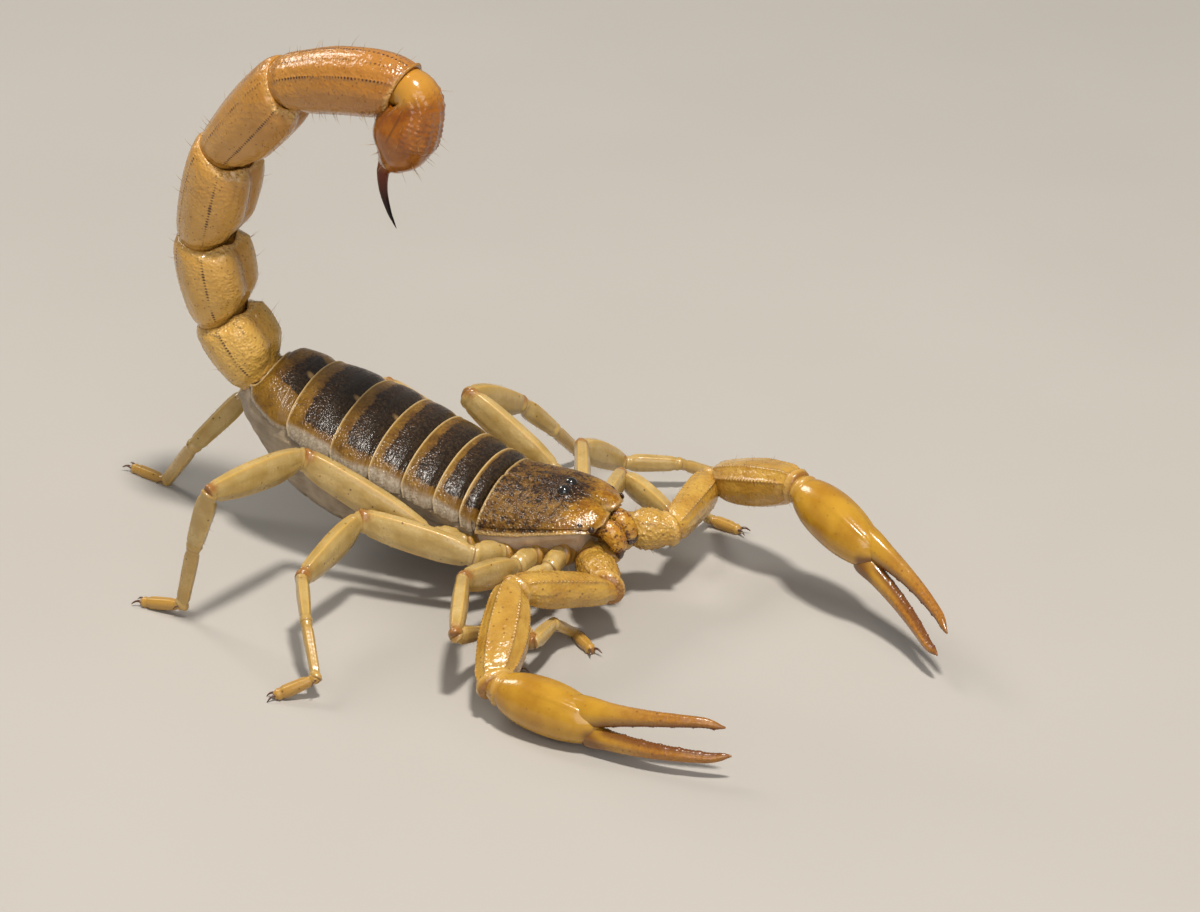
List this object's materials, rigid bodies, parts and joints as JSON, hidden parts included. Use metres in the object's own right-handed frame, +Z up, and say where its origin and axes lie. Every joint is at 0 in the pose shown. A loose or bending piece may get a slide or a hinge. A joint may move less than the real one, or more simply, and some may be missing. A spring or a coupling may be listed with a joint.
{
  "type": "desert scorpion model",
  "caption": "Still, life-size desert scorpion on its feet, tail arched over the back with the sting hanging forward and pincers held out low in front.",
  "frame": {"origin": "on the floor, under the middle of the animal's outline", "axes": "+Z up, head towards -Y, the animal's left side towards +X"},
  "size_m": [0.0471, 0.0661, 0.0402],
  "materials": {
    "carapace_shell": "mottled amber and dark brown shell, finely granular, satin gloss",
    "back_shell": "dark brown granular plates with olive-gold rear borders, satin gloss",
    "tail_shell": "amber shell with dark dotted keels, semi-gloss",
    "claw_shell": "smooth ochre shell, glossy palms, browner fingers",
    "limb_shell": "pale honey shell, semi-gloss",
    "membrane": "soft folded skin, matt",
    "sting_horn": "polished dark horn",
    "eye": "polished black"
  },
  "bodies": {
    "root": {"carapace": "carapace_shell", "underside": "limb_shell", "abdomen": "membrane", "eye_right": "eye", "eye_left": "eye", "chelicera_right": "limb_shell", "chelicera_left": "limb_shell", "pectine_right": "limb_shell", "pectine_left": "limb_shell", "tergite_1": "back_shell", "tergite_2": "back_shell", "tergite_3": "back_shell", "tergite_4": "back_shell", "tergite_5": "back_shell", "tergite_6": "back_shell", "tergite_7": "back_shell", "tail_1": "tail_shell", "tail_2": "tail_shell", "tail_3": "tail_shell", "tail_4": "tail_shell", "tail_5": "tail_shell", "vesicle": "tail_shell", "sting": "sting_horn", "palp_trochanter_right": "claw_shell", "palp_femur_right": "claw_shell", "palp_patella_right": "claw_shell", "palp_hand_right": "claw_shell", "palp_finger_right": "claw_shell", "leg_right_1_femur": "limb_shell", "leg_right_1_patella": "limb_shell", "leg_right_1_foot": "limb_shell", "leg_right_2_femur": "limb_shell", "leg_right_2_patella": "limb_shell", "leg_right_2_foot": "limb_shell", "leg_right_3_femur": "limb_shell", "leg_right_3_patella": "limb_shell", "leg_right_3_foot": "limb_shell", "leg_right_4_femur": "limb_shell", "leg_right_4_patella": "limb_shell", "leg_right_4_foot": "limb_shell", "palp_trochanter_left": "claw_shell", "palp_femur_left": "claw_shell", "palp_patella_left": "claw_shell", "palp_hand_left": "claw_shell", "palp_finger_left": "claw_shell", "leg_left_1_femur": "limb_shell", "leg_left_1_patella": "limb_shell", "leg_left_1_foot": "limb_shell", "leg_left_2_femur": "limb_shell", "leg_left_2_patella": "limb_shell", "leg_left_2_foot": "limb_shell", "leg_left_3_femur": "limb_shell", "leg_left_3_patella": "limb_shell", "leg_left_3_foot": "limb_shell", "leg_left_4_femur": "limb_shell", "leg_left_4_patella": "limb_shell", "leg_left_4_foot": "limb_shell"}
  },
  "joints": []
}
